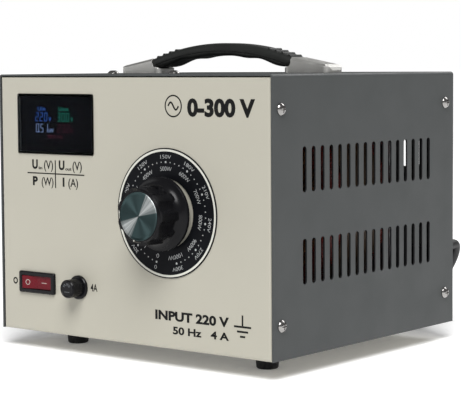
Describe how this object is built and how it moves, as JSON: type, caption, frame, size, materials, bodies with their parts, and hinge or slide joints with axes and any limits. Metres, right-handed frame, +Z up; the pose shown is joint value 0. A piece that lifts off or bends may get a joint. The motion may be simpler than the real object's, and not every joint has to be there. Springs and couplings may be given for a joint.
{
  "type": "variable autotransformer",
  "caption": "Bench variable autotransformer in a ventilated sheet-metal case with a carrying handle, dial knob, digital display, rocker switch, fuse and rear socket.",
  "frame": {"origin": "on the ground under the middle of the instrument, measured without the mains lead: feet at Z 0, centred in X across the case and in Y from the face of the knob to the rear socket's flange", "axes": "+X to the right as seen facing the front panel, +Y from the front panel to the rear, +Z up; the front panel faces -Y"},
  "size_m": [0.2434, 0.3498, 0.2045],
  "materials": {
    "cream_paint": "fine satin powder coat",
    "grey_paint": "fine-textured matt powder coat",
    "zinc_steel": "zinc plated",
    "chrome_screw": "bright plated, fine turning marks",
    "black_rubber": "matt",
    "black_plastic": "fine textured",
    "gloss_black": "polished",
    "handle_alloy": "satin plated",
    "spring_steel": "bare",
    "smoked_window": "polished, smoked",
    "screen_black": "polished",
    "circuit_board": "varnished",
    "component_black": "moulded",
    "dial_black": "printed satin film",
    "spun_aluminium": "spun",
    "steel_shaft": "ground",
    "copper_winding": "enamelled copper wire, dark red varnish",
    "core_steel": "wound strip, varnished",
    "insulation_cup": "moulded",
    "varnished_band": "varnished cloth",
    "phenolic": "phenolic sheet",
    "plain_brass": "machined",
    "bearing_bronze": "sintered",
    "cast_alloy": "sand-blasted casting",
    "carbon": "bare carbon",
    "red_plastic": "moulded",
    "fuse_glass": "glass tube with plated ends",
    "lead_rubber": "satin flexible sheath",
    "nylon_tie": "strap",
    "plug_rubber": "moulded-on plug with plated pins"
  },
  "bodies": {
    "case": {"chassis": "cream_paint", "rear_panel": "grey_paint", "rear_panel_screws": "zinc_steel", "top_cover": "grey_paint", "cover_screws": "chrome_screw", "feet": "black_rubber", "foot_screws": "zinc_steel", "base_nuts": "zinc_steel", "handle_grip": "black_plastic", "handle_strap": "spring_steel", "handle_end_right": "handle_alloy", "handle_end_left": "handle_alloy", "handle_bolts": "zinc_steel", "display_lens": "smoked_window", "display_frame": "component_black", "display_screen": "screen_black", "display_board": "circuit_board", "board_components": "component_black", "dial_plate": "dial_black", "winding": "copper_winding", "winding_band": "varnished_band", "core": "core_steel", "core_insulators": "insulation_cup", "clamp_disc": "phenolic", "rear_washer": "phenolic", "hub_tube": "zinc_steel", "hub_nut": "zinc_steel", "shaft_bushes": "bearing_bronze", "bracket": "zinc_steel", "bracket_bolts": "zinc_steel", "stop_pin": "zinc_steel", "finger_block": "phenolic", "collector_finger": "bearing_bronze", "switch_body": "gloss_black", "switch_tabs": "plain_brass", "fuse_holder": "gloss_black", "fuse_nut": "black_plastic", "fuse_tabs": "plain_brass", "socket_body": "black_plastic", "socket_contacts": "plain_brass", "socket_earth": "zinc_steel", "socket_screws": "zinc_steel", "strain_relief": "black_rubber", "mains_lead": "lead_rubber", "lead_coil": "lead_rubber", "lead_tie": "nylon_tie", "lead_tail": "lead_rubber", "plug": "plug_rubber"},
    "dial": {"knob": "gloss_black", "knob_cap": "spun_aluminium", "grub_screws": "zinc_steel", "shaft": "steel_shaft", "brush_arm": "cast_alloy", "brush_holder": "plain_brass", "carbon_brush": "carbon", "brush_spring": "spring_steel", "collector_ring": "plain_brass"},
    "rocker": {"rocker": "red_plastic"},
    "fuse_carrier": {"fuse": "fuse_glass"},
    "fuse_cap": {"fuse_cap": "gloss_black"}
  },
  "joints": [
    {"name": "dial_turn", "type": "hinge", "parent": "case", "child": "dial", "pos_m": [0.0327, 0, 0.0977], "axis": [0, 1, 0], "range_deg": [0, 330]},
    {"name": "rocker_tip", "type": "hinge", "parent": "case", "child": "rocker", "pos_m": [-0.0817, -0.0883, 0.0454], "axis": [0, 0, 1], "range_deg": [-10, 0]},
    {"name": "fuse_pull", "type": "slide", "parent": "case", "child": "fuse_carrier", "axis": [0, -1, 0], "range_m": [0, 0.03]},
    {"name": "fuse_cap_turn", "type": "hinge", "parent": "fuse_carrier", "child": "fuse_cap", "pos_m": [-0.0438, -0.0903, 0.0452], "axis": [0, -1, 0], "range_deg": [0, 60]}
  ]
}
